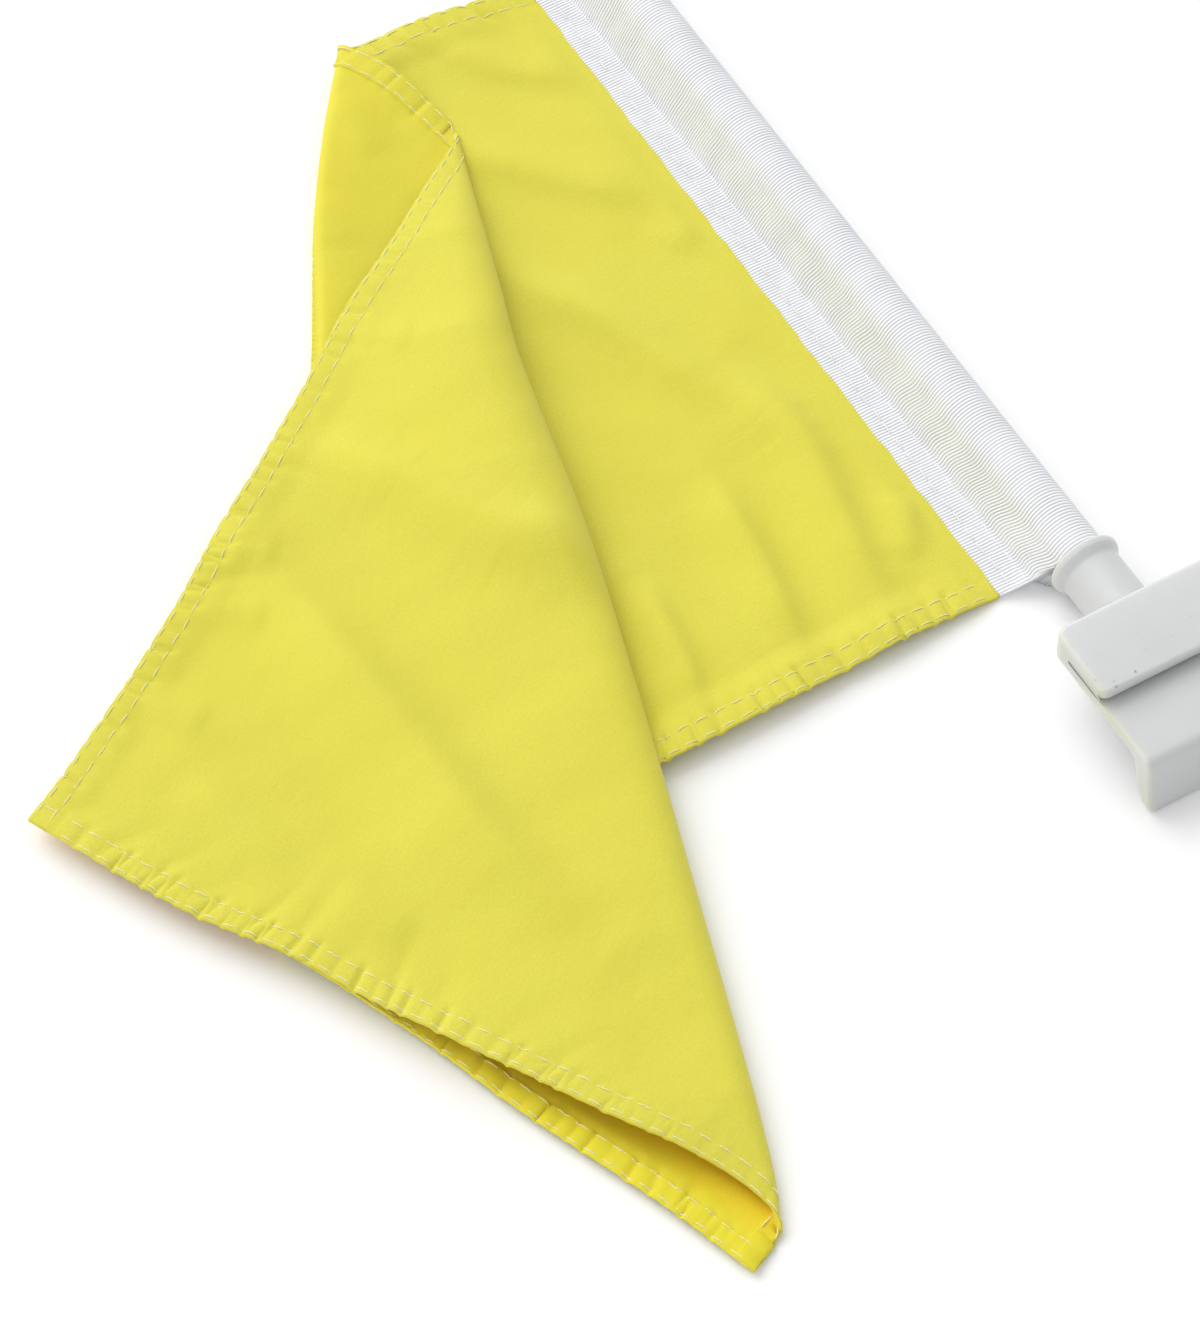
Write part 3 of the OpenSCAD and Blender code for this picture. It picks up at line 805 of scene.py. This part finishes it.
def sleeve_section(count_round=44):
    """The tape's outer line (x, z): from its free edge over the seam, round the pole and back."""
    mid = SEAM_TOP / 2
    big = SLEEVE_RADIUS
    gap = np.array([SEAM_START, AXIS_HEIGHT - mid])
    slope = math.atan2(gap[1], gap[0])
    lean = math.asin((big - mid) / np.linalg.norm(gap))
    upper, lower = slope + lean + math.pi / 2, slope - lean - math.pi / 2
    seam = [(x, SEAM_TOP) for x in np.linspace(TAPE_EDGE + 0.35, -SEAM_START - 0.9, 12)]
    round_pole = np.linspace(upper, lower, count_round)
    arc = [(big * math.cos(a), AXIS_HEIGHT + big * math.sin(a)) for a in round_pole]
    under = [(x, 0.03) for x in np.linspace(-SEAM_START, TAPE_EDGE + 0.35, 8)]
    edge = [(TAPE_EDGE - 0.02, 0.3), (TAPE_EDGE - 0.04, mid), (TAPE_EDGE - 0.02, SEAM_TOP - 0.3)]
    return np.array(seam + arc + under + edge)


def sleeve_line(count=77):
    """The tape's outer line as evenly spaced points, with the run along it and the outward normals."""
    line = sleeve_section()
    closed = np.vstack([line, line[:1]])
    run = np.r_[0, np.cumsum(np.linalg.norm(np.diff(closed, axis=0), axis=1))]
    want = np.linspace(0, run[-1], count + 1)[:-1]
    line = np.column_stack([np.interp(want, run, closed[:, k]) for k in (0, 1)])
    way = np.roll(line, -1, axis=0) - np.roll(line, 1, axis=0)
    out = np.column_stack([-way[:, 1], way[:, 0]])
    return want, line, out / np.linalg.norm(out, axis=1)[:, None]


def sleeve_ring(line, out, share, rib):
    """One ring of the tape's outside, at a share of the way up, with its rib, gathers and waves."""
    near_pole = smooth_step(line[:, 0], -8.8, -5.4)
    lower_layer = 1 - smooth_step(line[:, 1], 0.4, 3.0)
    # near the pole the tape reaches down to the socket's rim
    bottom = FLAG_BOTTOM - 0.9 - 3.9 * near_pole + 1.2 * lower_layer
    y = bottom + (FLAG_TOP - bottom) * share
    # gathers: ribs lean and bunch a little beside the inner row
    beside = np.exp(-((line[:, 0] + GATHERS_AT) / 2.6) ** 2)
    y = y + 0.13 * beside * np.sin(y * 0.33 + 0.8 * np.sin(y * 0.11))
    height = RIB_HEIGHT * math.cos(2 * math.pi * rib)
    seam = smooth_step(-line[:, 0], SEAM_START + 0.3, SEAM_START + 1.2)
    free = smooth_step(-line[:, 0], -TAPE_EDGE - 3.5, -TAPE_EDGE)
    wave = 0.2 * np.sin(y * 0.31 + 1.1 * np.sin(y * 0.07)) + 0.1 * np.sin(y * 0.83 + 2)
    dip = 0.13 * beside * np.sin(y * 0.52 + 1.9 * np.sin(y * 0.05)) * (line[:, 1] > SEAM_TOP * 0.6)
    rise = height + dip + 0.10 * seam * np.sin(y * 0.67 + line[:, 0])
    rise = np.where(line[:, 1] < 0.3, 0.0, rise)
    x = line[:, 0] + out[:, 0] * rise + wave * free * 0.9
    z = np.maximum(line[:, 1] + out[:, 1] * rise, 0.02)
    return np.column_stack([x, y, z])


def sleeve():
    """Ribbed tape folded round the pole and sewn to the flag, with its own thickness and open ends."""
    want, line, out = sleeve_line()
    size = len(line)
    ribs = int((FLAG_TOP - FLAG_BOTTOM) / RIB_PITCH)
    rings = ribs * STEPS_PER_RIB + 1
    outside = [sleeve_ring(line, out, r / (rings - 1), r / STEPS_PER_RIB) for r in range(rings)]
    uv = [np.column_stack([want, np.full(size, r / STEPS_PER_RIB)]) for r in range(rings)]
    # the inside: a plain tube just clear of the pole, joined to the outside at both ends
    radius = POLE_RADIUS + 0.12
    angles = np.arctan2(line[:, 1] - AXIS_HEIGHT, line[:, 0])
    x, z = radius * np.cos(angles), AXIS_HEIGHT + radius * np.sin(angles)
    inside = [np.column_stack([x, np.full(size, end[:, 1].mean()), z]) for end in (outside[0], outside[-1])]
    uv += [np.column_stack([want, np.full(size, float(rib))]) for rib in (0, ribs)]
    faces = ring_faces(rings, size, caps=False)
    top, base = (rings - 1) * size, rings * size
    for k in range(size):
        n = (k + 1) % size
        faces.append((k, n, base + n, base + k))
        faces.append((top + n, top + k, base + size + k, base + size + n))
        faces.append((base + k, base + n, base + size + n, base + size + k))
    obj = outward(mesh_object("header_tape", np.vstack(outside + inside), faces, uv=np.vstack(uv)))
    return dress(obj, "flag", "tape", TAPE, "header_sleeve")


def header_row(name, x, top):
    """One row of stitches down the tape, on top."""
    paths = []
    count = int((FLAG_TOP - FLAG_BOTTOM) / STITCH_PITCH)
    shares = np.linspace(0, 1, 7)
    for number in range(count):
        y = FLAG_BOTTOM + 0.6 + number * STITCH_PITCH + shares * STITCH_LENGTH
        wave = x + 0.12 * np.sin(y * 0.4) + 0.05 * np.sin(number * 2.9)
        arch = 0.16 - 0.4 * np.abs(2 * shares - 1) ** 5
        paths.append(np.column_stack([wave, y, top + arch]))
    return thread_piece(name, paths, TAPE_THREAD, 0.19)


sleeve()
threads.append(header_row("header_outer_thread", TAPE_EDGE + OUTER_ROW_IN, SEAM_TOP + 0.05))
threads.append(header_row("header_inner_thread", TAPE_EDGE + INNER_ROW_IN, SEAM_TOP + 0.05))


# ---------------- socket, pole and cap
STEM_RADIUS, POLE_GAP = 6.85, 0.05


def socket():
    """The bell-mouthed socket, with a small fillet where its stem meets the clip."""
    low, mouth = socket_low[1], socket_high[1]
    stem, bore = STEM_RADIUS, POLE_RADIUS + POLE_GAP
    face = CLIP_TOP + 0.02
    outline = rounded([
        (low, bore, 0), (low, stem, 0), (face, stem, 0), (face, stem + 0.75, 0), (face + 0.8, stem, 0.9),
        (mouth - 3.6, stem, 2.2), (mouth - 1.9, RIM_RADIUS - 0.25, 0.9),
        (mouth - 0.55, RIM_RADIUS, 0.7), (mouth, RIM_RADIUS - 0.7, 0.45), (mouth, bore + 0.8, 0.3),
        (mouth - 1.3, bore, 0.4)], 6)
    obj = smooth_by_angle(lathe("bell_socket", outline, 112), 50)
    return dress(obj, "clip", "plastic", CLIP_PLASTIC, "pole_socket")


def pole():
    """The plain hollow pole."""
    low, high, wall = pole_low[1], pole_high[1], 1.1
    inner = POLE_RADIUS - wall
    outline = rounded([(low, inner, 0.25), (low, POLE_RADIUS, 0.3), (high, POLE_RADIUS, 0.3),
                       (high, inner, 0.25)], 4)
    obj = smooth_by_angle(lathe("hollow_pole", outline, 72), 50)
    return dress(obj, "pole", "plastic", POLE_PLASTIC, "pole_tube")


def cap():
    """The flanged cap on the pole's upper end."""
    rim, end = cap_low[1], cap_high[1]
    bore, body, seat = POLE_RADIUS + POLE_GAP, 6.9, 11.2
    outline = rounded([
        (rim, bore, 0.2), (rim, RIM_RADIUS - 0.5, 0.5), (rim + 1.1, RIM_RADIUS, 0.8),
        (rim + 2.4, body + 0.3, 0.8), (rim + 3.6, body, 1.5), (end - 1.6, body, 2.2),
        (end, body - 3.4, 6), (end, 0, 0), (rim + seat, 0, 0), (rim + seat, bore, 0.3)], 6)
    obj = smooth_by_angle(lathe("pole_cap", outline, 112), 50)
    return dress(obj, "cap", "plastic", CLIP_PLASTIC, "top_cap")


# ---------------- clip
# heights of the slot between the legs, its closed end, and the lower end of the front leg
SLOT_LOW, SLOT_HIGH, SLOT_END = 14.8, 16.7, 31
SLOT_MIDDLE = (SLOT_LOW + SLOT_HIGH) / 2
LEG_END = 18.2
# radius of the corners in plan view, and of the softened ends
CLIP_CORNER, CLIP_SOFT = 3.5, 0.95
BOSS_RADIUS, BOSS_LENGTH = 8.1, 10.5


def clip_profile():
    """The clip seen from its end, as y and z, going round the legs, the slot and the lip."""
    back, front, step = 12.2, FRONT_FACE, 15.4
    return rounded([
        (CLIP_TOP, back, 1.0), (CLIP_TOP, front, 1.2), (LEG_END, front, 1.1), (LEG_END, SLOT_HIGH, 1.1),
        (SLOT_END, SLOT_HIGH, 0.5), (SLOT_END, SLOT_LOW, 0.5), (21.8, SLOT_LOW, 0.9), (20.2, step, 1.0),
        (1.2, step, 2.6), (-1.4, 0, 1.0), (1.7, 0, 0.8), (4.4, 4.7, 3), (6.3, back, 2.6)], 6)


def inset(outline, amount):
    """Moves an outline inward by a small amount along its own normals."""
    way = np.roll(outline, -1, axis=0) - np.roll(outline, 1, axis=0)
    way /= np.maximum(np.linalg.norm(way, axis=1), 1e-9)[:, None]
    y, z = outline.T
    area = np.sum(y * np.roll(z, -1) - np.roll(y, -1) * z)
    side = np.column_stack([-way[:, 1], way[:, 0]]) * (1 if area > 0 else -1)
    return outline + side * amount


def clip_ring(outline, x, half):
    """The clip's profile at one x, pulled in where its ends and corners are rounded."""
    corner, lip_corner, leg_corner, soft = CLIP_CORNER, 2.6, 2.4, CLIP_SOFT
    reach = half - abs(x)
    inward = 0.0 if reach >= soft else soft - math.sqrt(soft**2 - (soft - reach) ** 2)
    # the slot narrows toward the ends
    in_slot = (outline[:, 0] > 19) & (np.abs(outline[:, 1] - SLOT_MIDDLE) < 1.05)
    ring = np.where(in_slot[:, None], outline, inset(outline, inward))
    squeezed = SLOT_MIDDLE + (ring[:, 1] - SLOT_MIDDLE) * (1 - 0.75 * inward / soft)
    ring[:, 1] = np.where(in_slot, squeezed, ring[:, 1])
    # the lip's corners
    into_lip = max(abs(x) - (half - lip_corner), 0)
    low = lip_corner - math.sqrt(lip_corner**2 - into_lip**2)
    ring[:, 1] = np.where(ring[:, 0] < 6, np.maximum(ring[:, 1], low), ring[:, 1])
    # the front leg's lower corners
    into_leg = max(abs(x) - (half - leg_corner), 0)
    end = LEG_END + leg_corner - math.sqrt(leg_corner**2 - into_leg**2)
    on_leg = (ring[:, 1] > 16.2) & (ring[:, 0] < LEG_END + leg_corner)
    ring[:, 0] = np.where(on_leg, np.maximum(ring[:, 0], end + (ring[:, 0] - LEG_END) * 0.3), ring[:, 0])
    # the plan view's round upper corners
    into = max(abs(x) - (half - corner), 0)
    limit = CLIP_TOP - corner + math.sqrt(max(corner**2 - into**2, 0))
    over = smooth_step(ring[:, 0], CLIP_TOP - 5.6, CLIP_TOP)
    ring[:, 0] -= (CLIP_TOP - limit) * over
    return np.column_stack([np.full(len(ring), x), ring])


def clip():
    """The legs as a rounded extrusion with round upper corners, joined to the boss behind the socket."""
    outline = clip_profile()
    half = CLIP_WIDTH / 2
    ends = [half - CLIP_SOFT * (1 - math.cos(a)) for a in np.linspace(0, math.pi / 2, 7)]
    corners = [half - CLIP_CORNER * (1 - math.cos(a)) for a in np.linspace(0, math.pi / 2, 14)]
    places = {round(x, 4) for x in ends} | {round(x, 4) for x in corners if x < half - CLIP_SOFT}
    places = sorted(places, reverse=True)
    rings = [clip_ring(outline, x, half) for x in places + [0.0] + [-x for x in reversed(places)]]
    obj = outward(mesh_object("edge_clip", np.vstack(rings), ring_faces(len(rings), len(outline))))
    boss_low, boss_high = CLIP_TOP - BOSS_LENGTH, CLIP_TOP - 0.9
    boss = lathe("boss", rounded([(boss_low, 0, 0), (boss_low, BOSS_RADIUS, 0.9),
                                  (boss_high, BOSS_RADIUS, 0.5), (boss_high, 0, 0)], 5))
    bore_low, bore_high, bore_radius = socket_low[1] - 0.02, CLIP_TOP + 1, STEM_RADIUS + 0.02
    bore = lathe("bore", [(bore_low, 0), (bore_low, bore_radius), (bore_high, bore_radius),
                          (bore_high, 0)], 112)
    for other, operation in ((boss, "UNION"), (bore, "DIFFERENCE")):
        cut = obj.modifiers.new(operation.lower(), "BOOLEAN")
        cut.object, cut.operation, cut.solver = other, operation, "EXACT"
        apply_modifiers(obj)
        bpy.data.objects.remove(other)
    smooth_by_angle(obj, 34)
    return dress(obj, "clip", "plastic", CLIP_PLASTIC, "window_clip")


socket()
pole()
cap()
clip()


# ---------------- stage
def camera():
    """A long lens at the photograph's viewing angle, 30.3 degrees round and 55.05 degrees up."""
    azimuth, elevation, distance = math.radians(-30.3), math.radians(55.05), 0.9988
    target = Vector((-0.0985, 0.0900, 0.0))
    back = Vector((math.sin(azimuth) * math.cos(elevation), -math.cos(azimuth) * math.cos(elevation),
                   math.sin(elevation)))
    cam = link(bpy.data.objects.new("camera", bpy.data.cameras.new("camera")))
    cam.location = target + back * distance
    cam.rotation_mode = "QUATERNION"
    cam.rotation_quaternion = (-back).to_track_quat("-Z", "Y")
    cam.data.sensor_width, cam.data.lens = 36, 128.84
    cam.data.clip_start, cam.data.clip_end = 0.01, 20
    bpy.context.scene.camera = cam


def floor():
    """A plain pale floor."""
    far = 4000
    corners = [(-far, -far, 0), (far, -far, 0), (far, far, 0), (-far, far, 0)]
    obj = mesh_object("floor", corners, [(0, 1, 2, 3)])
    obj.location.z = -0.0001
    m = Shader("floor", Roughness=0.9)
    m.surface.inputs["Base Color"].default_value = (0.97, 0.97, 0.97, 1)
    m.surface.inputs["Specular IOR Level"].default_value = 0.1
    obj.data.materials.append(m.material)


def area_light(name, energy, location, size):
    """A large soft light aimed at the middle of the object."""
    data = bpy.data.lights.new(name, "AREA")
    data.energy, data.size = energy, size
    obj = link(bpy.data.objects.new(name, data))
    obj.location = location
    obj.rotation_mode = "QUATERNION"
    obj.rotation_quaternion = (Vector((-0.1, 0.1, 0)) - Vector(location)).to_track_quat("-Z", "Y")


def lighting():
    """One large soft light from behind, and soft light all round."""
    area_light("key", 110, (-0.85, 3.5, 3.65), 4.2)
    # the light all round is stronger from behind the object and from its left than from in front
    world = bpy.data.worlds.new("world")
    bpy.context.scene.world = world
    world.use_nodes = True
    nodes, links = world.node_tree.nodes, world.node_tree.links
    nodes["Background"].inputs["Color"].default_value = (1, 1, 1, 1)
    place, toward, level = (nodes.new("ShaderNode" + kind)
                            for kind in ("TexCoord", "VectorMath", "MapRange"))
    toward.operation = "DOT_PRODUCT"
    toward.inputs[1].default_value = (-0.45, 0.89, 0)
    for key, value in (("From Min", -1), ("From Max", 1), ("To Min", 0.45), ("To Max", 1.29)):
        level.inputs[key].default_value = value
    links.new(place.outputs["Generated"], toward.inputs[0])
    links.new(toward.outputs["Value"], level.inputs["Value"])
    links.new(level.outputs["Result"], nodes["Background"].inputs["Strength"])
    bpy.context.scene.view_settings.view_transform = "Standard"


camera()
floor()
lighting()
